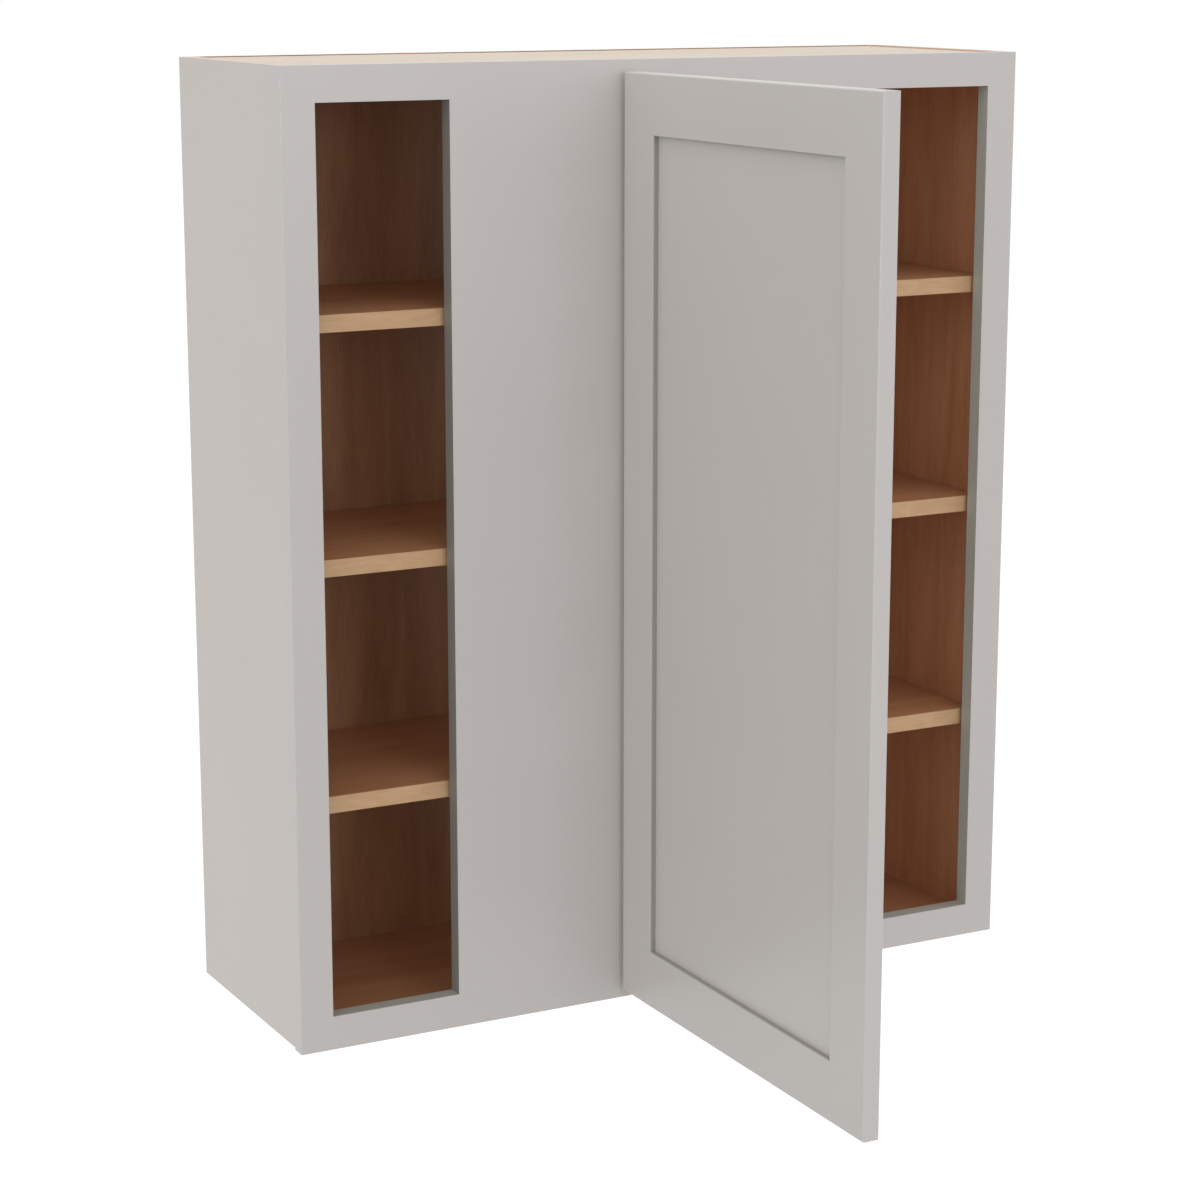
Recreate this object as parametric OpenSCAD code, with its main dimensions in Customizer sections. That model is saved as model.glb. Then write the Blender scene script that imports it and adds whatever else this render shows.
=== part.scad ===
// Blind corner wall cabinet with a face frame, three shelves and one door standing open.
// Sizes are in mm. Modules draw in cabinet coordinates: x runs from the left side, y runs back
// from the front of the face frame and z runs up from its lower edge. put() then moves a piece
// to the shared origin, the middle wall-screw hole where it meets the wall.

/* [Cabinet] */
// Width over the face frame.
cab_w = 914.4; // [860:1:1100]
// Height of the face frame.
cab_h = 1066.8; // [900:1:1150]
// Depth from the front of the face frame to the wall.
cab_d = 296.2; // [250:1:330]
// Thickness of the left and right side panels.
side_t = 19.05; // [16:0.05:19.05]
// Thickness of the top and bottom panels.
deck_t = 15; // [12:0.5:19]
// Thickness of the back panel.
back_t = 6.35; // [4:0.05:9]
// How far the case stops above the frame's lower edge.
case_lift = 2.7; // [0:0.1:6]
// How far the top panel lies below the frame's upper edge.
top_recess = 1; // [0:0.5:4]
// Height of the hanging rail under the top panel.
hang_rail_h = 35; // [30:1:80]
// Distance of the outer wall screws from the cabinet's sides; 50.8 spaces the three screws 406.4 apart.
screw_inset = 50.8; // [40:0.1:120]

/* [Face frame] */
// Thickness of the frame members and of the door.
frame_t = 19.05; // [18:0.05:22]
// Width of the outer stiles.
stile_w = 38.1; // [36:0.1:50]
// Width of the top and bottom rails.
rail_w = 38.1; // [36:0.1:50]
// Width of the open bay on the blind side.
blind_open_w = 152.4; // [100:0.1:200]
// Width of the wide stile that carries the hinges.
blind_stile_w = 228.6; // [180:0.1:250]

/* [Shelves] */
// Thickness of a shelf.
shelf_t = 19.05; // [16:0.05:22]
// Gap between the back of the frame and the front edge of a shelf.
shelf_setback = 5.5; // [4:0.5:30]

/* [Door] */
// How far the door covers the frame on each side.
overlay = 25.4; // [20:0.1:32]
// Gap between the closed door and the frame, filled by the bumpers.
door_gap = 3; // [2.5:0.1:4]
// Width of the door's stiles and rails.
door_member_w = 65.5; // [58:0.5:80]
// Distance of the pivot from the door's hinged edge and from its outer face.
pivot_inset = 6.225; // [6:0.005:6.5]
// Distance of each hinge from the door's upper or lower end.
hinge_inset = 88.9; // [70:0.1:140]

/* [Hidden] */
$fn = 48;
eps = 0.01;
cut = 1;
// Spare depth at the end of a blind hole, and of a mortise or screw hole.
hole_spare = 0.5;
mortise_spare = 0.3;

opening_x = stile_w + blind_open_w + blind_stile_w;
opening_w = cab_w - stile_w - opening_x;
frame_top_z = cab_h - rail_w;
deck_low_z = case_lift;
deck_high_z = cab_h - top_recess - deck_t;
back_y = cab_d - back_t;
rabbet_w = 9.5;
back_play = 0.3;
hang_rail_t = 19.05;
screw_z = deck_high_z - hang_rail_h / 2;
screw_pitch = cab_w / 2 - screw_inset;
screw_hole_r = 2.5;

tongue_w = 9.5;
tongue_l = 6.35;
tongue_stop = 12;
deck_tongue_t = 6;
deck_tongue_x = 46;
joint_play = 0.15;
tenon_t = 6.35;
tenon_l = 9.2;
tenon_inset = 6;
blind_tenon_inset = 20;
edge_ease = 1;

dowel_r = 4;
dowel_l = 30;
dowel_in_side = 12;
dowel_hole_r = 4.05;
dowel_y = [60, 155, 250];

band_t = 1;
band_ease = 0.5;
shelf_play = 0.8;
shelf_front_y = frame_t + shelf_setback;
shelf_back_gap = 1.85;
shelf_back_y = back_y - shelf_back_gap;
bay_h = (deck_high_z - deck_low_z - deck_t - 3 * shelf_t) / 4;
shelf_z = [for (i = [1 : 3]) deck_low_z + deck_t + i * bay_h + (i - 1) * shelf_t];
pin_r = 2.5;
pin_hole_r = 2.55;
pin_l = 10;
pin_drop = 4.2;
pin_collar_t = 1.5;
pin_pad = [9, 9, 2.2];
pin_rib_t = 2;
pin_rib_drop = 3;
pin_rib_inset = 1;
pin_inset = 45;
pin_y = [shelf_front_y + pin_inset, shelf_back_y - pin_inset];

door_w = opening_w + 2 * overlay;
door_h = cab_h - 2 * rail_w + 2 * overlay;
door_x = opening_x - overlay;
door_z = rail_w - overlay;
door_inner_y = -door_gap;
door_outer_y = -door_gap - frame_t;
door_open = 90;
pivot_x = door_x + pivot_inset;
pivot_y = door_outer_y + pivot_inset;
lip_t = 6.35;
groove_d = 12;
stick_bevel = 1.5;
outer_ease = 1.5;
inner_ease = 0.6;
ease_steps = 4;
panel_t = 6.2;
panel_in = 6;
tongue_play = 0.4;
ball_r = 2.95;
ball_high = [0.3, 0.7];
ball_wide = [0.35, 0.65];
bumper_r = 5;
bumper_t = 2.8;
bumper_inset = 12.7;

hinge_z = [door_z + hinge_inset, door_z + door_h - hinge_inset];
cup_edge = 3;
cup_bore_r = 17.5;
cup_r = 17.3;
cup_depth = 15.8;
cup_bore_depth = 16;
cup_floor = 0.8;
cup_x = door_x + cup_edge + cup_bore_r;
cup_pin_dx = pivot_x - cup_x;
cup_pin_depth = frame_t - pivot_inset;
slot_half = 4.2;
slot_lead = 2.1;
slot_near = cup_pin_dx - slot_lead;
slot_far = 16;
pocket_r = 16.2;
cheek_t = 1.8;
flange_t = 1.2;
flange_r = 19;
flange_cut = -14;
cup_screw = [9.5, 22.5];
cup_screw_pad_r = 5.5;
cup_screw_l = 12;
cup_screw_r = 1.7;
cup_screw_head_t = 1.4;
wood_screw_head_r = 3.4;
hinge_pin_r = 1;
hinge_pin_l = 16.4;
pin_fit = 0.01;
knuckle_r = 1.7;
knuckle_bore_r = 1.03;
arm_half = 3.9;
arm_t = 1.4;
arm_saddle_half = 6;
arm_saddle_y = [1.5, 17.5];
arm_slot = 4;
spring_t = 0.6;
spring_half = 3.6;
spring_bend = 0.6;
base_t = 1.6;
base_pad_t = 1.6;
base_half = 22;
base_front = 0.8;
base_back = 18.6;
base_tab_half = 8;
base_tab_l = 12;
base_mid_y = frame_t / 2;
base_screw_dz = 15;
base_screw_l = 14;
base_screw_r = 1.75;
base_screw_head_t = 1.5;
clamp_screw_l = 11;
clamp_screw_r = 1.5;
clamp_screw_head_r = 2.9;
clamp_screw_head_t = 1.6;
arm_x = base_t + base_pad_t + arm_t / 2;
arm_pivot = [pivot_x - opening_x, pivot_y];
arm_bend = 1.6;
// Bends of the gooseneck, from the pivot in the cup to the saddle on the base.
arm_path = [arm_pivot, arm_pivot + [13.9, -1.24], arm_pivot + [20.4, 1.6], [arm_x, -9.4],
    [arm_x, arm_saddle_y[0] + 1]];
shank_play = 0.05;
plate_hole_play = 0.3;
arm_slot_play = 0.15;
slot_end = slot_far - cup_pin_dx;
slot_floor = cup_floor - cup_depth + cup_pin_depth;
// Bends of the leaf, from its upright end in the slot to the tip under the arm.
spring_path = [[slot_end - spring_t / 2, 8.5], [slot_end - spring_t / 2, -0.9],
    [slot_end - 1.3, slot_floor + spring_t / 2], [19, slot_floor + spring_t / 2], [16.6, -1.45]];

// Placing helpers.
module put() {
    translate([-cab_w / 2, -cab_d, -screw_z]) children();
}

module put_door() {
    put() translate([pivot_x, pivot_y, 0]) rotate([0, 0, -door_open])
        translate([-pivot_x, -pivot_y, 0]) children();
}

module at_hinge(i) {
    translate([opening_x, 0, hinge_z[i]]) children();
}

module flipped() {
    translate([cab_w, 0, 0]) mirror([1, 0, 0]) children();
}

module slab(x0, x1, y0, y1, z0, z1) {
    translate([x0, y0, z0]) cube([x1 - x0, y1 - y0, z1 - z0]);
}

module rod_x(x0, x1, y, z, r) {
    translate([x0, y, z]) rotate([0, 90, 0]) cylinder(r = r, h = x1 - x0);
}

// A screw along +z: head below the seat plane z = 0, shank above it, cross recess in the head.
module screw(head_r, head_t, shank_r, shank_l) {
    tip_l = 2 * shank_r;
    tip_r = 0.3;
    crown_r = 0.7 * head_r;
    rim_t = 0.45 * head_t;
    recess_w = 0.8;
    recess_t = 0.6 * head_t;
    difference() {
        rotate_extrude() polygon([[0, -head_t], [crown_r, -head_t], [head_r, -rim_t], [head_r, 0],
            [shank_r, 0], [shank_r, shank_l - tip_l], [tip_r, shank_l], [0, shank_l]]);
        for (a = [0, 90]) rotate([0, 0, a])
            translate([-head_r / 2, -recess_w / 2, -head_t - cut]) cube([head_r, recess_w, recess_t + cut]);
    }
}

// Points of a rounded corner, from one angle to another round its centre.
function rounded(c, r, a, b) = [
    for (i = [0 : ease_steps])
        let (turn = a + (b - a) * i / ease_steps)
            c + r * [cos(turn), sin(turn)]
];

// Case.
module side_blank() {
    tongue_x = (side_t - tongue_w) / 2;
    difference() {
        union() {
            slab(0, side_t, frame_t, cab_d, case_lift, cab_h);
            slab(tongue_x, tongue_x + tongue_w, frame_t - tongue_l, frame_t + eps,
                case_lift + tongue_stop, cab_h - tongue_stop);
        }
        slab(side_t - rabbet_w, side_t + cut, back_y, cab_d + cut, case_lift - cut, cab_h + cut);
        for (y = dowel_y, z = [deck_low_z, deck_high_z])
            rod_x(side_t - dowel_in_side - hole_spare, side_t + cut, y, z + deck_t / 2, dowel_hole_r);
        for (y = pin_y, z = shelf_z)
            rod_x(side_t - pin_l - hole_spare, side_t + cut, y, z - pin_drop, pin_hole_r);
    }
}

module left_side_panel() {
    color("#5c3a24") put() side_blank();
}

module right_side_panel() {
    color("#5c3a24") put() flipped() side_blank();
}

module deck(z) {
    mid_z = z + deck_t / 2;
    hole_end = side_t + dowel_l - dowel_in_side + hole_spare;
    difference() {
        union() {
            slab(side_t, cab_w - side_t, frame_t, back_y, z, z + deck_t);
            slab(deck_tongue_x, cab_w - deck_tongue_x, frame_t - tongue_l, frame_t + eps,
                mid_z - deck_tongue_t / 2, mid_z + deck_tongue_t / 2);
        }
        for (y = dowel_y) {
            rod_x(side_t - cut, hole_end, y, mid_z, dowel_hole_r);
            rod_x(cab_w - hole_end, cab_w - side_t + cut, y, mid_z, dowel_hole_r);
        }
    }
}

module top_panel() {
    color("#decfbf") put() deck(deck_high_z);
}

module bottom_panel() {
    color("#c9a77c") put() deck(deck_low_z);
}

module wall_screw_holes() {
    for (i = [-1 : 1]) translate([cab_w / 2 + i * screw_pitch, cab_d + cut, screw_z])
        rotate([90, 0, 0]) cylinder(r = screw_hole_r, h = hang_rail_t + back_t + 2 * cut);
}

module back_panel() {
    edge_x = side_t - rabbet_w + back_play;
    color("#5c3a24") put() difference() {
        slab(edge_x, cab_w - edge_x, back_y, cab_d, case_lift, cab_h);
        wall_screw_holes();
    }
}

module hanging_rail() {
    color("#c9a77c") put() difference() {
        slab(side_t, cab_w - side_t, back_y - hang_rail_t, back_y, deck_high_z - hang_rail_h, deck_high_z);
        wall_screw_holes();
    }
}

module case_dowels() {
    x = side_t - dowel_in_side;
    color("#d8b98c") put() for (y = dowel_y, z = [deck_low_z, deck_high_z]) {
        rod_x(x, x + dowel_l, y, z + deck_t / 2, dowel_r);
        flipped() rod_x(x, x + dowel_l, y, z + deck_t / 2, dowel_r);
    }
}

// Face frame. Rails end in stub tenons, and grooves behind take the tongues of the case.
module outer_stile() {
    groove_x = (side_t - tongue_w) / 2 - joint_play;
    difference() {
        linear_extrude(cab_h)
            polygon(concat(rounded([edge_ease, edge_ease], edge_ease, 180, 270),
                [[stile_w, 0], [stile_w, frame_t], [0, frame_t]]));
        slab(groove_x, groove_x + tongue_w + 2 * joint_play, frame_t - tongue_l - joint_play, frame_t + cut,
            case_lift + tongue_stop - joint_play, cab_h - tongue_stop + joint_play);
        for (z = [0, frame_top_z])
            slab(stile_w - tenon_l - mortise_spare, stile_w + cut, (frame_t - tenon_t) / 2 - joint_play,
                (frame_t + tenon_t) / 2 + joint_play, z + tenon_inset - joint_play,
                z + rail_w - tenon_inset + joint_play);
    }
}

module frame_left_stile() {
    color("#c3beb8") put() outer_stile();
}

module frame_right_stile() {
    color("#c3beb8") put() flipped() outer_stile();
}

module blind_tenon(z0, z1, play) {
    slab(stile_w + blind_open_w + blind_tenon_inset - play, opening_x - blind_tenon_inset + play,
        (frame_t - tenon_t) / 2 - play, (frame_t + tenon_t) / 2 + play, z0, z1);
}

module frame_blind_stile() {
    color("#c3beb8") put() difference() {
        union() {
            slab(stile_w + blind_open_w, opening_x, 0, frame_t, rail_w, frame_top_z);
            blind_tenon(rail_w - tenon_l, rail_w + eps, 0);
            blind_tenon(frame_top_z - eps, frame_top_z + tenon_l, 0);
        }
        for (i = [0, 1]) at_hinge(i) {
            for (s = [-1, 1])
                rod_x(-base_screw_l, cut, base_mid_y, s * base_screw_dz, base_screw_r + shank_play);
            rod_x(-clamp_screw_l, cut, base_mid_y, 0, clamp_screw_r + shank_play);
        }
    }
}

module frame_rail(z, deck_z, mortise_z) {
    groove_z = deck_z + deck_t / 2;
    half = deck_tongue_t / 2 + joint_play;
    difference() {
        union() {
            slab(stile_w, cab_w - stile_w, 0, frame_t, z, z + rail_w);
            slab(stile_w - tenon_l, cab_w - stile_w + tenon_l,
                (frame_t - tenon_t) / 2, (frame_t + tenon_t) / 2, z + tenon_inset, z + rail_w - tenon_inset);
        }
        slab(deck_tongue_x - joint_play, cab_w - deck_tongue_x + joint_play,
            frame_t - tongue_l - joint_play, frame_t + cut, groove_z - half, groove_z + half);
        blind_tenon(mortise_z[0], mortise_z[1], joint_play);
    }
}

module frame_top_rail() {
    color("#c3beb8") put()
        frame_rail(frame_top_z, deck_high_z, [frame_top_z - cut, frame_top_z + tenon_l + mortise_spare]);
}

module frame_bottom_rail() {
    color("#c3beb8") put() frame_rail(0, deck_low_z, [rail_w - tenon_l - mortise_spare, rail_w + cut]);
}

// Shelves on four pins each.
module shelf(i) {
    color("#6b452c") put() slab(side_t + shelf_play, cab_w - side_t - shelf_play, shelf_front_y + band_t,
        shelf_back_y, shelf_z[i], shelf_z[i] + shelf_t);
}

module lower_shelf() {
    shelf(0);
}

module middle_shelf() {
    shelf(1);
}

module upper_shelf() {
    shelf(2);
}

module shelf_edge_bands() {
    color("#c19f75") put() for (z = shelf_z)
        translate([side_t + shelf_play, shelf_front_y, z]) rotate([90, 0, 90])
            linear_extrude(cab_w - 2 * side_t - 2 * shelf_play)
                polygon([[band_ease, 0], [band_t, 0], [band_t, shelf_t], [band_ease, shelf_t],
                    [0, shelf_t - band_ease], [0, band_ease]]);
}

// The shaft sits in the side, the collar against it and the pad's top carries the shelf.
module shelf_pin() {
    rod_x(-pin_l, pin_collar_t, 0, -pin_drop, pin_r);
    rod_x(0, pin_collar_t, 0, -pin_drop, pin_drop);
    translate([0, -pin_pad[1] / 2, -pin_pad[2]]) cube(pin_pad);
    translate([0, pin_rib_t / 2, 0]) rotate([90, 0, 0]) linear_extrude(pin_rib_t)
        polygon([[0, -pin_drop - pin_rib_drop], [pin_collar_t, -pin_drop - pin_rib_drop],
            [pin_pad[0] - pin_rib_inset, -pin_pad[2]], [0, -pin_pad[2]]]);
}

module shelf_pins() {
    color("#9a9a98") put() for (y = pin_y, z = shelf_z) {
        translate([side_t, y, z]) shelf_pin();
        flipped() translate([side_t, y, z]) shelf_pin();
    }
}

// Door, drawn closed. Outline of a stile or rail: width along x from the outer edge, thickness along y.
module member_outline() {
    w = door_member_w;
    t = frame_t;
    polygon(concat(rounded([outer_ease, outer_ease], outer_ease, 180, 270),
        rounded([w - stick_bevel, stick_bevel], stick_bevel, 270, 360),
        [[w, lip_t], [w - groove_d, lip_t], [w - groove_d, t - lip_t], [w, t - lip_t], [w, t],
            [inner_ease, t], [0, t - inner_ease]]));
}

module door_stile_blank() {
    intersection() {
        translate([door_x, door_outer_y, door_z]) linear_extrude(door_h) member_outline();
        door_end_form();
    }
}

// The door seen from its side, with the outer arris of both ends eased like its long edges.
module door_end_form() {
    translate([door_x - cut, door_outer_y, door_z]) rotate([90, 0, 90]) linear_extrude(door_w + 2 * cut)
        polygon(concat(rounded([outer_ease, outer_ease], outer_ease, 270, 180),
            rounded([outer_ease, door_h - outer_ease], outer_ease, 180, 90),
            [[frame_t - inner_ease, door_h], [frame_t, door_h - inner_ease], [frame_t, inner_ease],
                [frame_t - inner_ease, 0]]));
}

module door_flipped() {
    translate([2 * door_x + door_w, 0, 0]) mirror([1, 0, 0]) children();
}

module cup_screw_sites(i) {
    at_hinge(i) for (s = [-1, 1])
        translate([cup_x - opening_x + cup_screw[0], door_inner_y + flange_t, s * cup_screw[1]])
            rotate([90, 0, 0]) children();
}

module door_hinge_stile() {
    color("#b9b5af") put_door() difference() {
        door_stile_blank();
        for (i = [0, 1]) {
            at_hinge(i) translate([cup_x - opening_x, door_inner_y + cut, 0]) rotate([90, 0, 0])
                cylinder(r = cup_bore_r, h = cup_bore_depth + cut, $fn = 96);
            cup_screw_sites(i) cylinder(r = cup_screw_r + shank_play, h = cup_screw_l + mortise_spare);
        }
    }
}

module door_free_stile() {
    color("#b9b5af") put_door() door_flipped() door_stile_blank();
}

// A rail is coped over the stiles' bevel and its tongues fill their grooves.
module door_rail_low() {
    tongue_reach = door_member_w - groove_d + tongue_play;
    intersection() {
        difference() {
            translate([door_x, door_outer_y, door_z]) rotate([90, 0, 90]) linear_extrude(door_w)
                mirror([1, 0]) rotate([0, 0, 90]) member_outline();
            rail_end_cut();
            door_flipped() rail_end_cut();
        }
        slab(door_x + tongue_reach, door_x + door_w - tongue_reach, door_outer_y - cut, door_inner_y + cut,
            door_z, door_z + door_member_w + cut);
    }
}

module rail_end_cut() {
    w = door_member_w;
    translate([door_x, door_outer_y, door_z - cut]) linear_extrude(door_member_w + 2 * cut)
        polygon(concat([[-cut, -cut], [w - stick_bevel, -cut]],
            rounded([w - stick_bevel, stick_bevel], stick_bevel, 270, 360),
            [[w, lip_t + joint_play / 2], [w - groove_d, lip_t + joint_play / 2],
                [w - groove_d, frame_t - lip_t - joint_play / 2], [w, frame_t - lip_t - joint_play / 2],
                [w, frame_t + cut], [-cut, frame_t + cut]]));
}

module door_bottom_rail() {
    color("#b9b5af") put_door() door_rail_low();
}

module door_top_rail() {
    color("#b9b5af") put_door() translate([0, 0, 2 * door_z + door_h]) mirror([0, 0, 1]) door_rail_low();
}

module door_panel() {
    inset = door_member_w - panel_in;
    panel_y = (door_outer_y + door_inner_y) / 2;
    color("#b9b5af") put_door() slab(door_x + inset, door_x + door_w - inset, panel_y - panel_t / 2,
        panel_y + panel_t / 2, door_z + inset, door_z + door_h - inset);
}

// Soft balls between the panel's edge and the floor of the groove.
module panel_spacers() {
    gap_mid = door_member_w - panel_in - (groove_d - panel_in) / 2;
    mid_y = (door_outer_y + door_inner_y) / 2;
    color("#3a3a3a") put_door() {
        for (x = [gap_mid, door_w - gap_mid], f = ball_high)
            translate([door_x + x, mid_y, door_z + f * door_h]) sphere(r = ball_r, $fn = 20);
        for (z = [gap_mid, door_h - gap_mid], f = ball_wide)
            translate([door_x + f * door_w, mid_y, door_z + z]) sphere(r = ball_r, $fn = 20);
    }
}

module door_bumpers() {
    color("#d9d9d6") put_door() for (z = [bumper_inset, door_h - bumper_inset])
        translate([door_x + door_w - bumper_inset, door_inner_y, door_z + z]) rotate([-90, 0, 0])
            rotate_extrude() polygon([[0, 0], [bumper_r, 0], [bumper_r - 0.3 * bumper_t, 0.7 * bumper_t],
                [bumper_r / 2, bumper_t], [0, bumper_t]]);
}

// Concealed hinge with one pivot. The cup is sunk in the door, and the arm on the stile reaches into it.
module flange_outline() {
    intersection() {
        union() {
            circle(r = flange_r, $fn = 96);
            for (s = [-1, 1]) translate([cup_screw[0], s * cup_screw[1]]) circle(r = cup_screw_pad_r);
            translate([cup_screw[0] - cup_screw_pad_r, -cup_screw[1]])
                square([2 * cup_screw_pad_r, 2 * cup_screw[1]]);
        }
        translate([flange_cut, -2 * flange_r]) square([3 * flange_r, 4 * flange_r]);
    }
}

// Hollows of the cup: the slot that the arm swings in, and a pocket behind each cheek.
module cup_hollows() {
    hollow_h = flange_t + cut + cup_depth - cup_floor;
    cheek_y = slot_half + cheek_t;
    translate([0, 0, -flange_t - cut]) {
        translate([slot_near, -slot_half, 0]) cube([slot_far - slot_near, 2 * slot_half, hollow_h]);
        linear_extrude(hollow_h) difference() {
            circle(r = pocket_r, $fn = 96);
            translate([-2 * pocket_r, -cheek_y]) square([4 * pocket_r, 2 * cheek_y]);
        }
    }
}

module hinge_cup(i) {
    color("#c8c9cb") put_door() at_hinge(i)
        translate([cup_x - opening_x, door_inner_y, 0]) rotate([90, 0, 0]) difference() {
            union() {
                translate([0, 0, -eps]) cylinder(r = cup_r, h = cup_depth + eps, $fn = 96);
                translate([0, 0, -flange_t]) linear_extrude(flange_t) flange_outline();
            }
            cup_hollows();
            translate([cup_pin_dx, 0, cup_pin_depth]) rotate([90, 0, 0])
                cylinder(r = hinge_pin_r + pin_fit, h = 3 * cup_r, center = true);
            for (s = [-1, 1]) translate([cup_screw[0], s * cup_screw[1], -flange_t - cut])
                cylinder(r = cup_screw_r + plate_hole_play, h = flange_t + 2 * cut);
        }
}

module upper_hinge_cup() {
    hinge_cup(1);
}

module lower_hinge_cup() {
    hinge_cup(0);
}

// A bent strip in plan: its path with the corners softened, widened to both sides.
function unit(v) = v / norm(v);

function across(v) = [-v[1], v[0]];

function softened(p, c) = [
    p[0],
    for (i = [1 : len(p) - 2])
        let (a = p[i] + c * unit(p[i - 1] - p[i]), b = p[i] + c * unit(p[i + 1] - p[i]))
            each [a, (a + 2 * p[i] + b) / 4, b],
    p[len(p) - 1]
];

function widened(p, s) = [
    for (i = [0 : len(p) - 1])
        let (j = max(i, 1), k = min(i + 1, len(p) - 1))
        let (a = unit(p[j] - p[j - 1]), b = unit(p[k] - p[k - 1]))
            p[i] + s * (across(a) + across(b)) / (1 + a * b)
];

module strip(path, t, bend) {
    p = softened(path, bend);
    n = len(p);
    far = widened(p, -t / 2);
    polygon(concat(widened(p, t / 2), [for (i = [1 : n]) far[n - i]]));
}

module hinge_arm(i) {
    slot_r = clamp_screw_r + arm_slot_play;
    color("#c8c9cb") put() at_hinge(i) difference() {
        union() {
            linear_extrude(2 * arm_half, center = true) strip(arm_path, arm_t, arm_bend);
            translate(arm_pivot) cylinder(r = knuckle_r, h = 2 * arm_half, center = true);
            slab(arm_x - arm_t / 2, arm_x + arm_t / 2, arm_saddle_y[0], arm_saddle_y[1],
                -arm_saddle_half, arm_saddle_half);
        }
        translate(arm_pivot) cylinder(r = knuckle_bore_r, h = 3 * arm_half, center = true);
        for (s = [-1, 1]) rod_x(0, 2 * arm_x, base_mid_y + s * arm_slot / 2, 0, slot_r);
        slab(0, 2 * arm_x, base_mid_y - arm_slot / 2, base_mid_y + arm_slot / 2,
            -slot_r, slot_r);
    }
}

module upper_hinge_arm() {
    hinge_arm(1);
}

module lower_hinge_arm() {
    hinge_arm(0);
}

// The base lies on the stile's edge and its tab hooks behind the stile.
module hinge_base(i) {
    color("#c8c9cb") put() at_hinge(i) difference() {
        union() {
            slab(0, base_t, base_front, base_back, -base_half, base_half);
            slab(0, base_t, base_back - cut, frame_t + base_t, -base_tab_half, base_tab_half);
            slab(-base_tab_l, base_t, frame_t, frame_t + base_t, -base_tab_half, base_tab_half);
            slab(base_t - eps, base_t + base_pad_t, arm_saddle_y[0], arm_saddle_y[1],
                -arm_saddle_half, arm_saddle_half);
        }
        for (s = [-1, 1])
            rod_x(-cut, base_t + cut, base_mid_y, s * base_screw_dz, base_screw_r + plate_hole_play);
        rod_x(-cut, arm_x, base_mid_y, 0, clamp_screw_r + shank_play);
    }
}

module upper_hinge_base() {
    hinge_base(1);
}

module lower_hinge_base() {
    hinge_base(0);
}

// A leaf in the floor of each cup's slot, which pushes on the arm's bend and draws the door shut.
module hinge_springs() {
    color("#8f8f8c") put_door() for (i = [0, 1]) at_hinge(i) translate(arm_pivot)
        linear_extrude(2 * spring_half, center = true) strip(spring_path, spring_t, spring_bend);
}

module hinge_pins() {
    color("#9fa1a3") put_door() for (i = [0, 1])
        at_hinge(i) translate(arm_pivot) cylinder(r = hinge_pin_r, h = hinge_pin_l, center = true);
}

module cup_screws() {
    color("#b9bab8") put_door() for (i = [0, 1])
        cup_screw_sites(i) screw(wood_screw_head_r, cup_screw_head_t, cup_screw_r, cup_screw_l);
}

module base_screws() {
    color("#b9bab8") put() for (i = [0, 1], s = [-1, 1])
        at_hinge(i) translate([base_t, base_mid_y, s * base_screw_dz]) rotate([0, -90, 0])
            screw(wood_screw_head_r, base_screw_head_t, base_screw_r, base_screw_l);
}

module clamp_screws() {
    color("#b9bab8") put() for (i = [0, 1]) at_hinge(i) translate([arm_x + arm_t / 2, base_mid_y, 0])
        rotate([0, -90, 0])
            screw(clamp_screw_head_r, clamp_screw_head_t, clamp_screw_r, clamp_screw_l + arm_x);
}

left_side_panel();
right_side_panel();
top_panel();
bottom_panel();
back_panel();
hanging_rail();
case_dowels();
frame_left_stile();
frame_right_stile();
frame_blind_stile();
frame_top_rail();
frame_bottom_rail();
upper_shelf();
middle_shelf();
lower_shelf();
shelf_edge_bands();
shelf_pins();
door_hinge_stile();
door_free_stile();
door_top_rail();
door_bottom_rail();
door_panel();
panel_spacers();
door_bumpers();
upper_hinge_cup();
lower_hinge_cup();
upper_hinge_arm();
lower_hinge_arm();
upper_hinge_base();
lower_hinge_base();
hinge_springs();
hinge_pins();
cup_screws();
base_screws();
clamp_screws();
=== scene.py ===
"""Looks of a blind corner wall cabinet, dressed over its packed construction model.

The cabinet hangs in the row frame of the construction model: metres, +X to the right,
+Y into the wall, +Z up, origin at the middle wall screw. Every visible form is in the
construction's solids already, so each class of a sub-assembly gives its pieces their
finishes, each finish stands for one real material, but for the lighter and darker copies
that paint light and shade onto some faces, and main() puts them together.
"""

import logging
import math
from dataclasses import dataclass
from enum import Enum

import bpy
import numpy as np
from mathutils import Euler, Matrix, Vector


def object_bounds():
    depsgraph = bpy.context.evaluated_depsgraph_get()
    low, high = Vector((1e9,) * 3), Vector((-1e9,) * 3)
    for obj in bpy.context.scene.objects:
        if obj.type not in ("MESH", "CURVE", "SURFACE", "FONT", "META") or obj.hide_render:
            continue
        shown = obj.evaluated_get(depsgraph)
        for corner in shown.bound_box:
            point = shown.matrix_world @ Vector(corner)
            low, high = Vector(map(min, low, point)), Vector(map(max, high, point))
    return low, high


log = logging.getLogger("corner_cabinet")
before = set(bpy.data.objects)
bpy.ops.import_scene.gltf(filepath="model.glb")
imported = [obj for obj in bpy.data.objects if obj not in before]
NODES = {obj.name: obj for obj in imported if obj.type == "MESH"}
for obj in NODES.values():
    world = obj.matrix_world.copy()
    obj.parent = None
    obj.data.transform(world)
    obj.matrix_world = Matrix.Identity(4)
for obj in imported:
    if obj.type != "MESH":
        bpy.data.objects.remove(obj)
CAD_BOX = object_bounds()
MM = 0.001
WHITE = (1.0, 1.0, 1.0, 1.0)

# The display curve: straight up to the knee, and a power of the lifted value above it.
CHANNEL_TOP = 255
CURVE_KNEE, CURVE_SLOPE, CURVE_LIFT, CURVE_POWER = 0.04045, 12.92, 0.055, 2.4

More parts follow.
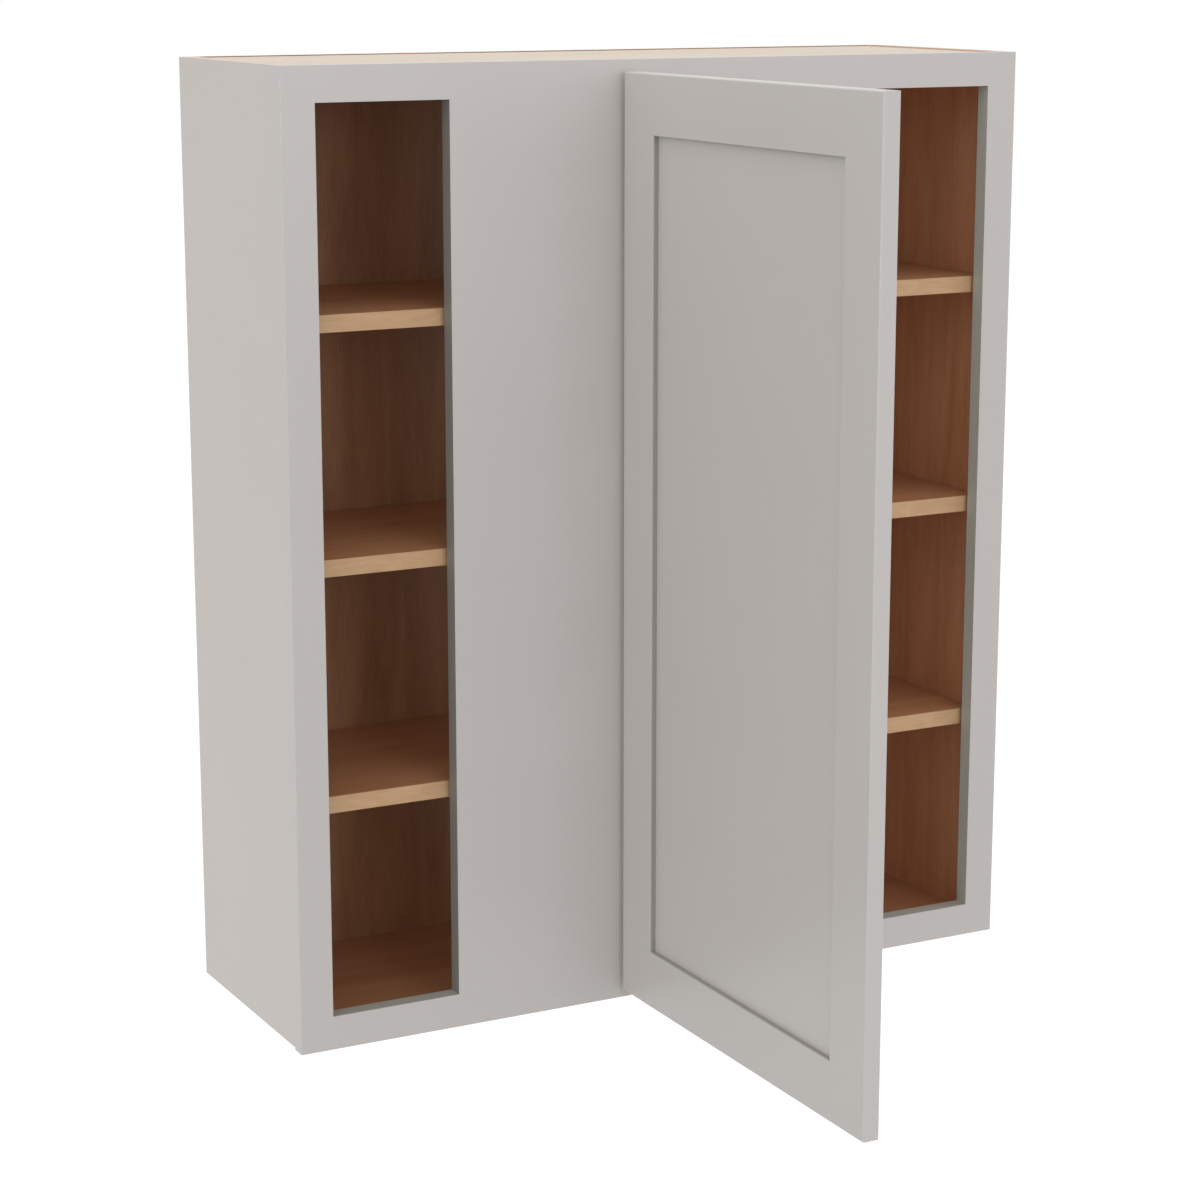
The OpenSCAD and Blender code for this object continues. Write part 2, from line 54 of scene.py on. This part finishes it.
# Sockets that go by number, because their names repeat within the node.
SHARE, A_NUMBER, B_NUMBER, A_COLOUR, B_COLOUR, MIXED_COLOUR = 0, 2, 3, 6, 7, 2
FIRST, SECOND, THIRD = 0, 1, 2


class Grain(Enum):
    """The direction that the wood fibres of a panel run in, as an axis."""

    ACROSS = 0
    UPRIGHT = 2


class Side(Enum):
    """The way a face looks out of its panel, as an axis and a sign."""

    LEFT = (0, -1)
    RIGHT = (0, 1)
    FRONT = (1, -1)
    BACK = (1, 1)
    UNDER = (2, -1)
    TOP = (2, 1)


def linear(hex_colour: str) -> tuple[float, float, float, float]:
    """Turns a display colour into the linear values that Blender's sockets take.

    Args:
        hex_colour: sRGB colour such as "#c1bcb6".

    Returns:
        Red, green, blue and an alpha of 1, linear.
    """
    raw = np.array([int(hex_colour[i:i + 2], 16) for i in (1, 3, 5)]) / CHANNEL_TOP
    curved = ((raw + CURVE_LIFT) / (1 + CURVE_LIFT)) ** CURVE_POWER
    lin = np.where(raw <= CURVE_KNEE, raw / CURVE_SLOPE, curved)
    return (*map(float, lin), 1.0)


def add(tree: bpy.types.NodeTree, kind: str, values: dict | None = None,
        links: dict | None = None, **settings: object) -> bpy.types.Node:
    """Adds one shader node with its settings, socket values and incoming links.

    Args:
        tree: the material's or world's node tree.
        kind: the node's class name.
        values: socket name or number to its constant.
        links: socket name or number to the output that feeds it.
        settings: properties of the node itself.

    Returns:
        The new node.
    """
    node = tree.nodes.new(kind)
    for name, value in settings.items():
        setattr(node, name, value)
    for name, value in (values or {}).items():
        node.inputs[name].default_value = value
    for name, source in (links or {}).items():
        tree.links.new(source, node.inputs[name])
    return node


def empty_material(name: str) -> tuple[bpy.types.Material, bpy.types.NodeTree]:
    """Makes a node material without its default nodes.

    Args:
        name: the real material's name and how its surface was made.

    Returns:
        The material and its node tree.
    """
    material = bpy.data.materials.new(name)
    material.use_nodes = True
    material.node_tree.nodes.clear()
    return material, material.node_tree


def close_material(tree: bpy.types.NodeTree, shader: bpy.types.Node) -> None:
    """Feeds a finished shader into the material's output.

    Args:
        tree: the material's node tree.
        shader: the node whose first output is the surface.
    """
    add(tree, "ShaderNodeOutputMaterial", links={"Surface": shader.outputs[0]})


@dataclass(frozen=True)
class SprayedLacquer:
    """Catalysed lacquer sprayed on sanded hardwood: an even satin skin with a faint orange peel.

    The peel has its real pitch of about two millimetres and breaks the gloss up softly. The
    clouds are the slow changes of shade that a spray gun leaves on a panel.
    """

    name: str = "sprayed satin lacquer on maple"
    colour: str = "#c7c2bd"
    shade: str = "#c3beb9"
    roughness: float = 0.36
    ior: float = 1.48
    peel_mm: float = 2.2
    peel_detail: float = 1.5
    peel_depth_mm: float = 0.1
    peel_strength: float = 0.05
    cloud_mm: float = 180.0
    cloud_detail: float = 2.0

    def build(self) -> bpy.types.Material:
        """Builds the lacquer.

        Returns:
            The finished material.
        """
        material, tree = empty_material(self.name)
        spot = add(tree, "ShaderNodeTexCoord").outputs["Object"]
        peel = add(tree, "ShaderNodeTexNoise",
                   {"Scale": 1 / (self.peel_mm * MM), "Detail": self.peel_detail},
                   {"Vector": spot})
        cloud = add(tree, "ShaderNodeTexNoise",
                    {"Scale": 1 / (self.cloud_mm * MM), "Detail": self.cloud_detail},
                    {"Vector": spot})
        tint = add(tree, "ShaderNodeMix",
                   {A_COLOUR: linear(self.colour), B_COLOUR: linear(self.shade)},
                   {SHARE: cloud.outputs[0]}, data_type="RGBA")
        bump = add(tree, "ShaderNodeBump",
                   {"Strength": self.peel_strength, "Distance": self.peel_depth_mm * MM},
                   {"Height": peel.outputs[0]})
        shader = add(tree, "ShaderNodeBsdfPrincipled",
                     {"Roughness": self.roughness, "IOR": self.ior},
                     {"Base Color": tint.outputs[MIXED_COLOUR], "Normal": bump.outputs[0]})
        close_material(tree, shader)
        return material


@dataclass(frozen=True)
class WoodGrain:
    """Wood or printed wood foil: long soft figure, fine fibre streaks and short pores.

    One fibre is far finer than a pixel, so a streak is as wide as the bundle of fibres that
    the eye makes out, and a pore is half of that. Both are a little coarser than real ones.
    """

    name: str
    light: str
    dark: str
    pore: str
    grain: Grain
    figure_mm: float = 34.0
    figure_stretch: float = 9.0
    figure_detail: float = 3.0
    swirl: float = 0.6
    fibre_mm: float = 1.6
    stretch: float = 26.0
    fibre_detail: float = 4.0
    fibre_breakup: float = 0.65
    fibre_share: float = 0.45
    body_range: tuple[float, float] = (0.33, 0.67)
    pore_width_share: float = 0.5
    pore_length_share: float = 0.6
    pore_detail: float = 1.0
    pore_range: tuple[float, float] = (0.60, 0.74)
    pore_depth: float = 0.25
    relief_mm: float = 0.15
    relief_strength: float = 0.12
    roughness: float = 0.5
    ior: float = 1.46

    def along(self, tree: bpy.types.NodeTree, source: bpy.types.NodeSocket, width_mm: float,
              stretch: float) -> bpy.types.NodeSocket:
        """Stretches object coordinates along the fibres.

        Args:
            tree: the material's node tree.
            source: the object coordinates.
            width_mm: real width of one feature across the grain.
            stretch: how many times longer than wide a feature is.

        Returns:
            Coordinates in which one unit is one feature.
        """
        scale = [1 / (width_mm * MM)] * 3
        scale[self.grain.value] /= stretch
        return add(tree, "ShaderNodeMapping", {"Scale": scale}, {"Vector": source}).outputs[0]

    def build(self) -> bpy.types.Material:
        """Builds the wood.

        Returns:
            The finished material.
        """
        material, tree = empty_material(self.name)
        spot = add(tree, "ShaderNodeTexCoord").outputs["Object"]
        figure = add(tree, "ShaderNodeTexNoise",
                     {"Scale": 1.0, "Detail": self.figure_detail, "Distortion": self.swirl},
                     {"Vector": self.along(tree, spot, self.figure_mm, self.figure_stretch)})
        fibre = add(tree, "ShaderNodeTexNoise",
                    {"Scale": 1.0, "Detail": self.fibre_detail, "Roughness": self.fibre_breakup},
                    {"Vector": self.along(tree, spot, self.fibre_mm, self.stretch)})
        pore = add(tree, "ShaderNodeTexNoise", {"Scale": 1.0, "Detail": self.pore_detail},
                   {"Vector": self.along(tree, spot, self.fibre_mm * self.pore_width_share,
                                         self.stretch * self.pore_length_share)})
        blend = add(tree, "ShaderNodeMix", {SHARE: self.fibre_share},
                    {A_NUMBER: figure.outputs[0], B_NUMBER: fibre.outputs[0]})
        spread = add(tree, "ShaderNodeMapRange",
                     {"From Min": self.body_range[0], "From Max": self.body_range[1]},
                     {"Value": blend.outputs[0]})
        body = add(tree, "ShaderNodeMix",
                   {A_COLOUR: linear(self.light), B_COLOUR: linear(self.dark)},
                   {SHARE: spread.outputs[0]}, data_type="RGBA")
        pits = add(tree, "ShaderNodeMapRange",
                   {"From Min": self.pore_range[0], "From Max": self.pore_range[1],
                    "To Max": self.pore_depth},
                   {"Value": pore.outputs[0]})
        colour = add(tree, "ShaderNodeMix", {B_COLOUR: linear(self.pore)},
                     {SHARE: pits.outputs[0], A_COLOUR: body.outputs[MIXED_COLOUR]},
                     data_type="RGBA")
        bump = add(tree, "ShaderNodeBump",
                   {"Strength": self.relief_strength, "Distance": self.relief_mm * MM},
                   {"Height": fibre.outputs[0]})
        shader = add(tree, "ShaderNodeBsdfPrincipled",
                     {"Roughness": self.roughness, "IOR": self.ior},
                     {"Base Color": colour.outputs[MIXED_COLOUR], "Normal": bump.outputs[0]})
        close_material(tree, shader)
        return material


@dataclass(frozen=True)
class PlatedSteel:
    """Pressed steel with a thin plating: bright, and faintly brushed by the strip's rolling.

    Real roll marks are under a tenth of a millimetre wide and too fine to show, so they are
    drawn a few times coarser.
    """

    name: str = "nickel plated pressed steel"
    colour: str = "#d6d4cf"
    dark: str = "#bcbab6"
    roughness: float = 0.38
    brush_mm: float = 0.35
    strokes_per_metre: float = 90.0
    brush_detail: float = 2.0
    brush_depth_mm: float = 0.05
    brush_strength: float = 0.08

    def build(self) -> bpy.types.Material:
        """Builds the plating.

        Returns:
            The finished material.
        """
        material, tree = empty_material(self.name)
        spot = add(tree, "ShaderNodeTexCoord").outputs["Object"]
        across = 1 / (self.brush_mm * MM)
        rolled = add(tree, "ShaderNodeMapping",
                     {"Scale": (across, across, self.strokes_per_metre)}, {"Vector": spot})
        brush = add(tree, "ShaderNodeTexNoise", {"Scale": 1.0, "Detail": self.brush_detail},
                    {"Vector": rolled.outputs[0]})
        tint = add(tree, "ShaderNodeMix",
                   {A_COLOUR: linear(self.colour), B_COLOUR: linear(self.dark)},
                   {SHARE: brush.outputs[0]}, data_type="RGBA")
        bump = add(tree, "ShaderNodeBump",
                   {"Strength": self.brush_strength, "Distance": self.brush_depth_mm * MM},
                   {"Height": brush.outputs[0]})
        shader = add(tree, "ShaderNodeBsdfPrincipled",
                     {"Metallic": 1.0, "Roughness": self.roughness},
                     {"Base Color": tint.outputs[MIXED_COLOUR], "Normal": bump.outputs[0]})
        close_material(tree, shader)
        return material


@dataclass(frozen=True)
class MouldedSoft:
    """Soft plastic or rubber from a mould: an even matt skin with a little mottling."""

    name: str
    colour: str
    dark: str
    roughness: float
    ior: float = 1.45
    fleck_mm: float = 1.2
    fleck_detail: float = 2.0

    def build(self) -> bpy.types.Material:
        """Builds the moulded skin.

        Returns:
            The finished material.
        """
        material, tree = empty_material(self.name)
        spot = add(tree, "ShaderNodeTexCoord").outputs["Object"]
        fleck = add(tree, "ShaderNodeTexNoise",
                    {"Scale": 1 / (self.fleck_mm * MM), "Detail": self.fleck_detail},
                    {"Vector": spot})
        tint = add(tree, "ShaderNodeMix",
                   {A_COLOUR: linear(self.colour), B_COLOUR: linear(self.dark)},
                   {SHARE: fleck.outputs[0]}, data_type="RGBA")
        shader = add(tree, "ShaderNodeBsdfPrincipled",
                     {"Roughness": self.roughness, "IOR": self.ior},
                     {"Base Color": tint.outputs[MIXED_COLOUR]})
        close_material(tree, shader)
        return material


class Finishes:
    """The workshop's shelf of finishes, each built once."""

    def __init__(self) -> None:
        """Builds every finish that the cabinet uses."""
        # An even warm grey satin, the same on the face frame and the door.
        self.lacquer = SprayedLacquer().build()
        # The same lacquer a shade warmer on the sides' outer faces: a painted tint for the different
        # light that falls on the sides.
        self.lit_side_skin = SprayedLacquer(name="satin lacquer tinted for the light on a side",
                                        colour="#cac2bb", shade="#c6beb7").build()
        # The same lacquer, darker and a little duller, on the inner edges: the darker colour is
        # painted shade for the reveals, deepest on the left and blind stiles' edges and lighter on
        # the rails' edges.
        self.deep_shade_coat = SprayedLacquer(name="satin lacquer painted deep shade on an inner edge",
                                        colour="#8d8c85", shade="#898881", roughness=0.45).build()
        self.half_shade_coat = SprayedLacquer(name="satin lacquer painted half shade on an inner edge",
                                         colour="#aeada5", shade="#a9a8a0", roughness=0.42).build()
        # The right stile's inner edge takes a lighter, greener copy, nearly as light as the front:
        # painted light for that reveal.
        self.lit_edge_coat = SprayedLacquer(name="satin lacquer painted lighter on the right inner edge",
                                        colour="#c4c9c1", shade="#c0c5bd", roughness=0.42).build()
        # A darker copy on the sharp step round the door's panel: painted shade in the recess, which
        # reads as a dark line.
        self.step_shade_coat = SprayedLacquer(name="satin lacquer painted shade in the door's sharp recess",
                                        colour="#9d9995", shade="#999591", roughness=0.42).build()
        # Printed foil shows a soft red-brown grain under a dull, even skin. It is one print, drawn
        # lighter on the sides than on the shelves and decks: painted light and shade for how light
        # falls in the bays.
        self.foil_upright = WoodGrain(name="wood foil, upright grain", light="#d7a07a",
                                      dark="#ba845b", pore="#92603d", grain=Grain.UPRIGHT,
                                      roughness=0.42).build()
        self.foil_across = WoodGrain(name="wood foil, grain across", light="#c3906a",
                                     dark="#ae7850", pore="#835334", grain=Grain.ACROSS,
                                     roughness=0.42).build()
        # The same print, drawn darker on the back: painted shade at the back of the bays.
        self.shaded_foil_back = WoodGrain(name="wood foil painted shade on the back, upright grain", light="#a4754f",
                                   dark="#825839", pore="#5b3922", grain=Grain.UPRIGHT,
                                   roughness=0.45).build()
        # Clear lacquer leaves the maple strip honey pale, with a soft curly figure and a gleam.
        self.band = WoodGrain(name="maple edge band, clear lacquer", light="#cba67f",
                              dark="#be976e", pore="#ab855c", grain=Grain.ACROSS, figure_mm=18.0,
                              figure_stretch=2.6, swirl=1.6, roughness=0.4).build()
        # Unfinished veneer stays cream and matt, with faint streaks.
        self.raw_veneer = WoodGrain(name="raw maple veneer, unfinished", light="#d6cabb",
                                    dark="#ccbdaa", pore="#b8a388", grain=Grain.ACROSS,
                                    roughness=0.62).build()
        # Peeled birch has a broad tan figure without gloss.
        self.raw_back = WoodGrain(name="raw birch ply, unfinished", light="#cfb48e",
                                  dark="#bd9d74", pore="#9c7b54", grain=Grain.UPRIGHT,
                                  figure_mm=60.0, roughness=0.68).build()
        # The saw opens the panel's layers, which show as short pale and dark flecks.
        self.raw_edge = WoodGrain(name="sawn panel edge", light="#c6b6a2", dark="#ad9c85",
                                  pore="#86705a", grain=Grain.ACROSS, figure_mm=5.0,
                                  fibre_mm=0.9, stretch=3.0, roughness=0.75).build()
        # Nickel is bright and warm, and takes up the colours around it.
        self.nickel = PlatedSteel().build()
        # Zinc is cooler and darker than the nickel beside it.
        self.zinc = PlatedSteel(name="zinc plated steel", colour="#b7b9ba", dark="#8f9294",
                                roughness=0.34).build()
        # Bronze plating keeps the shelf pins as brown and quiet as the foil around them.
        self.bronze = PlatedSteel(name="bronze plated steel", colour="#e3bd94", dark="#c79f78",
                                  roughness=0.42).build()
        # Black rubber swallows the light.
        self.rubber = MouldedSoft("soft rubber, moulded", "#3b3b3c", "#2f2f30", 0.7).build()
        # The bumper's pale pad has a wet gleam against the satin paint.
        self.pad = MouldedSoft("soft clear polyurethane, cast", "#dad9d5", "#cfcdc8", 0.3).build()


@dataclass(frozen=True)
class FaceRule:
    """Which faces at one side of a piece take another finish.

    The cosine between a face and its side lies above least and up to most, and the face lies
    within reach, in metres, of the outermost flat one.
    """

    least: float
    most: float
    reach: float


# A flat face's cosine is 1 or a rounding error more.
FLAT = FaceRule(least=0.9, most=1.1, reach=0.2 * MM)
LEANING = FaceRule(least=0.5, most=0.9, reach=1.6 * MM)


def dress(node: str, main: bpy.types.Material,
          faces: dict[Side, bpy.types.Material] | None = None,
          leaning: dict[Side, bpy.types.Material] | None = None) -> None:
    """Gives a construction node its finish, and other finishes to the outermost faces of sides.

    Args:
        node: the construction node's name.
        main: finish of every face that no rule names.
        faces: finish of the outermost flat face on each named side.
        leaning: finish of the bevels beside the outermost face on each named side.
    """
    mesh = NODES[node].data
    mesh.materials.clear()
    mesh.materials.append(main)
    count = len(mesh.polygons)
    normal, centre = np.zeros(count * 3, np.float32), np.zeros(count * 3, np.float32)
    mesh.polygons.foreach_get("normal", normal)
    mesh.polygons.foreach_get("center", centre)
    normal, centre = normal.reshape(-1, 3), centre.reshape(-1, 3)
    index = np.zeros(count, np.int32)
    for finishes, rule in ((faces or {}, FLAT), (leaning or {}, LEANING)):
        for side, material in finishes.items():
            axis, sign = side.value
            turned, out = normal[:, axis] * sign, centre[:, axis] * sign
            near = out > out[turned > FLAT.least].max() - rule.reach
            mesh.materials.append(material)
            slot = len(mesh.materials) - 1
            index[(turned > rule.least) & (turned <= rule.most) & near] = slot
    mesh.polygons.foreach_set("material_index", index)
    mesh.update()


@dataclass
class Case:
    """The box behind the face frame."""

    finish: Finishes

    def build(self) -> list[str]:
        """Dresses the sides, decks, back and hanging rail.

        Returns:
            Names of the nodes dressed.
        """
        f = self.finish
        cut = {Side.UNDER: f.raw_edge, Side.BACK: f.raw_edge}
        plan = {
            # The two side panels' sawn top edges are one real edge: the left's is painted pale with
            # the veneer finish and the right's browner with the sawn-edge finish, for how light
            # falls on each.
            "left_side_panel": (f.foil_upright,
                                {Side.LEFT: f.lit_side_skin, Side.TOP: f.raw_veneer, **cut}),
            "right_side_panel": (f.foil_upright,
                                 {Side.RIGHT: f.lit_side_skin, Side.TOP: f.raw_edge, **cut}),
            "top_panel": (f.foil_across, {Side.TOP: f.raw_veneer}),
            "bottom_panel": (f.foil_across, {Side.UNDER: f.raw_veneer}),
            "back_panel": (f.shaded_foil_back, {Side.BACK: f.raw_back, Side.TOP: f.raw_edge,
                                         Side.UNDER: f.raw_edge}),
            "hanging_rail": (f.foil_across, {}),
            "case_dowels": (f.raw_veneer, {}),
        }
        for name, (main_finish, faces) in plan.items():
            dress(name, main_finish, faces)
        return list(plan)


@dataclass
class FaceFrame:
    """Stiles and rails of the front, lacquered before the case is joined to them."""

    finish: Finishes

    def build(self) -> list[str]:
        """Dresses the five frame members.

        Returns:
            Names of the nodes dressed.
        """
        f = self.finish
        # The inner edges take darker copies of the lacquer, painted shade for the reveals; the right
        # stile's edge takes a lighter copy, painted light.
        inner = {
            "frame_left_stile": {Side.RIGHT: f.deep_shade_coat},
            "frame_blind_stile": {Side.LEFT: f.deep_shade_coat},
            "frame_top_rail": {Side.UNDER: f.half_shade_coat},
            "frame_bottom_rail": {Side.TOP: f.half_shade_coat},
            "frame_right_stile": {Side.LEFT: f.lit_edge_coat},
        }
        for name, edges in inner.items():
            dress(name, f.lacquer, edges)
        return list(inner)


@dataclass
class Shelving:
    """Three shelves, their edge bands and the pins that carry them."""

    finish: Finishes

    def build(self) -> list[str]:
        """Dresses the shelves, bands and pins.

        Returns:
            Names of the nodes dressed.
        """
        f = self.finish
        plan = {"lower_shelf": f.foil_across, "middle_shelf": f.foil_across,
                "upper_shelf": f.foil_across, "shelf_edge_bands": f.band, "shelf_pins": f.bronze}
        for name, main_finish in plan.items():
            dress(name, main_finish)
        return list(plan)


@dataclass
class Door:
    """The five-piece door with its floating panel, spacers and bumpers."""

    finish: Finishes

    def build(self) -> list[str]:
        """Dresses the door.

        Returns:
            Names of the nodes dressed.
        """
        f = self.finish
        # The step round the panel takes a dark copy and the bevel beside it a half dark copy of the
        # lacquer: painted shade in the recess.
        inward = {"door_hinge_stile": Side.FRONT, "door_free_stile": Side.BACK,
                  "door_top_rail": Side.UNDER, "door_bottom_rail": Side.TOP}
        for name, side in inward.items():
            dress(name, f.lacquer, {side: f.step_shade_coat}, {side: f.half_shade_coat})
        plain = {"door_panel": f.lacquer, "panel_spacers": f.rubber, "door_bumpers": f.pad}
        for name, main_finish in plain.items():
            dress(name, main_finish)
        return [*inward, *plain]


@dataclass
class Hinges:
    """The two concealed hinges and their screws."""

    finish: Finishes

    def build(self) -> list[str]:
        """Dresses cups, arms, bases, springs, pins and screws.

        Returns:
            Names of the nodes dressed.
        """
        bright = [f"{place}_hinge_{part}" for place in ("upper", "lower")
                  for part in ("cup", "arm", "base")]
        for name in bright:
            dress(name, self.finish.nickel)
        plain = ["hinge_springs", "hinge_pins", "cup_screws", "base_screws", "clamp_screws"]
        for name in plain:
            dress(name, self.finish.zinc)
        return [*bright, *plain]


@dataclass(frozen=True)
class SoftBox:
    """One large square lamp: where it stands, in metres, its power and the colour of its light."""

    name: str
    place: tuple[float, float, float]
    watts: float
    tint: str = "#ffffff"


@dataclass
class Studio:
    """Plain pale floor, white sky, four soft boxes and the camera.

    Places and lengths are in metres, but for the lens and the sensor. The floor reflects
    floor_tone of its light, and floor_glow tops that up to white on the rays that show it.
    The camera looks level along +Y before it is turned to the right and tilted down.
    """

    lens_mm: float = 88.624
    sensor_mm: float = 36.0
    place: tuple[float, float, float] = (-1.594, -3.1468, 0.1479)
    level_deg: float = 90.0
    turn_deg: float = 27.847
    down_deg: float = 12.397
    floor_drop: float = 1.372
    floor_tone: float = 0.45
    floor_glow: float = 0.65
    floor_reach: float = 30.0
    sky: float = 0.887
    box_side: float = 2.4
    box_aim: tuple[float, float, float] = (0.0, -0.2, -0.5)
    boxes: tuple[SoftBox, ...] = (
        SoftBox("soft_box_side", (-6.5, -1.0, 0.2), 60.0, "#f1f5fb"),
        SoftBox("soft_box_front", (0.0, -7.5, 0.6), 100.0, "#f0f2ff"),
        SoftBox("soft_box_right", (4.2, -0.5, 1.0), 33.6),
        SoftBox("soft_box_top", (-0.4, -0.8, 3.0), 17.0),
    )

    def seen(self, tree: bpy.types.NodeTree) -> bpy.types.NodeSocket:
        """Tells rays that the camera, gloss or glass sends from those that only carry light.

        Args:
            tree: the material's or world's node tree.

        Returns:
            A socket that is 1 on the rays that show the background, and otherwise 0.
        """
        ray = add(tree, "ShaderNodeLightPath").outputs
        direct = add(tree, "ShaderNodeMath",
                     links={FIRST: ray["Is Camera Ray"], SECOND: ray["Is Glossy Ray"]},
                     operation="MAXIMUM")
        return add(tree, "ShaderNodeMath",
                   links={FIRST: direct.outputs[0], SECOND: ray["Is Transmission Ray"]},
                   operation="MAXIMUM").outputs[0]

    def floor(self) -> None:
        """Lays the floor as far below the cabinet as a kitchen's, and shows it white."""
        material, tree = empty_material("plain pale studio floor")
        tone = self.floor_tone
        matt = add(tree, "ShaderNodeBsdfDiffuse", {"Color": (tone, tone, tone, 1.0)})
        shown = add(tree, "ShaderNodeMath", {SECOND: self.floor_glow}, {FIRST: self.seen(tree)},
                    operation="MULTIPLY")
        glow = add(tree, "ShaderNodeEmission", {"Color": WHITE}, {"Strength": shown.outputs[0]})
        both = add(tree, "ShaderNodeAddShader",
                   links={FIRST: matt.outputs[0], SECOND: glow.outputs[0]})
        close_material(tree, both)
        low = CAD_BOX[0].z - self.floor_drop
        far = self.floor_reach
        corners = [(-far, -far, low), (far, -far, low), (far, far, low), (-far, far, low)]
        mesh = bpy.data.meshes.new("studio_floor")
        mesh.from_pydata(corners, [], [(0, 1, 2, 3)])
        mesh.materials.append(material)
        plane = bpy.data.objects.new("studio_floor", mesh)
        bpy.context.scene.collection.objects.link(plane)

    def light(self) -> None:
        """Makes the sky: soft light on the object, and plain white to camera, gloss and glass."""
        world = bpy.data.worlds.new("studio_sky")
        bpy.context.scene.world = world
        world.use_nodes = True
        tree = world.node_tree
        tree.nodes.clear()
        soft = add(tree, "ShaderNodeBackground", {"Color": WHITE, "Strength": self.sky})
        white = add(tree, "ShaderNodeBackground", {"Color": WHITE, "Strength": 1.0})
        both = add(tree, "ShaderNodeMixShader",
                   links={FIRST: self.seen(tree), SECOND: soft.outputs[0],
                          THIRD: white.outputs[0]})
        add(tree, "ShaderNodeOutputWorld", links={"Surface": both.outputs[0]})

    def soft_box(self, box: SoftBox) -> None:
        """Adds one square lamp that looks at the cabinet's middle.

        Args:
            box: the lamp.
        """
        lamp = bpy.data.lights.new(box.name, "AREA")
        lamp.size = self.box_side
        lamp.energy = box.watts
        lamp.color = linear(box.tint)[:3]
        holder = bpy.data.objects.new(box.name, lamp)
        holder.location = box.place
        aim = Vector(self.box_aim) - Vector(box.place)
        holder.rotation_euler = aim.to_track_quat("-Z", "Y").to_euler()
        bpy.context.scene.collection.objects.link(holder)

    def camera(self) -> None:
        """Stands the camera where its picture comes closest to the photograph without lens shift."""
        data = bpy.data.cameras.new("camera")
        data.lens = self.lens_mm
        data.sensor_width = self.sensor_mm
        camera = bpy.data.objects.new("camera", data)
        camera.location = self.place
        tilt = math.radians(self.level_deg - self.down_deg)
        camera.rotation_euler = Euler((tilt, 0.0, math.radians(-self.turn_deg)))
        bpy.context.scene.collection.objects.link(camera)
        bpy.context.scene.camera = camera

    def build(self) -> None:
        """Sets the whole stage and the plain view transform."""
        self.floor()
        self.light()
        for box in self.boxes:
            self.soft_box(box)
        self.camera()
        bpy.context.scene.view_settings.view_transform = "Standard"


def write_size() -> None:
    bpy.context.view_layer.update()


def main() -> None:
    """Builds every sub-assembly in order and reports it."""
    logging.basicConfig(level=logging.INFO, format="%(name)s: %(message)s")
    finish = Finishes()
    for kind in (Case, FaceFrame, Shelving, Door, Hinges):
        for name in kind(finish).build():
            log.info("%s: %s dressed", kind.__name__, name)
    Studio().build()
    write_size()


if __name__ == "__main__":
    main()
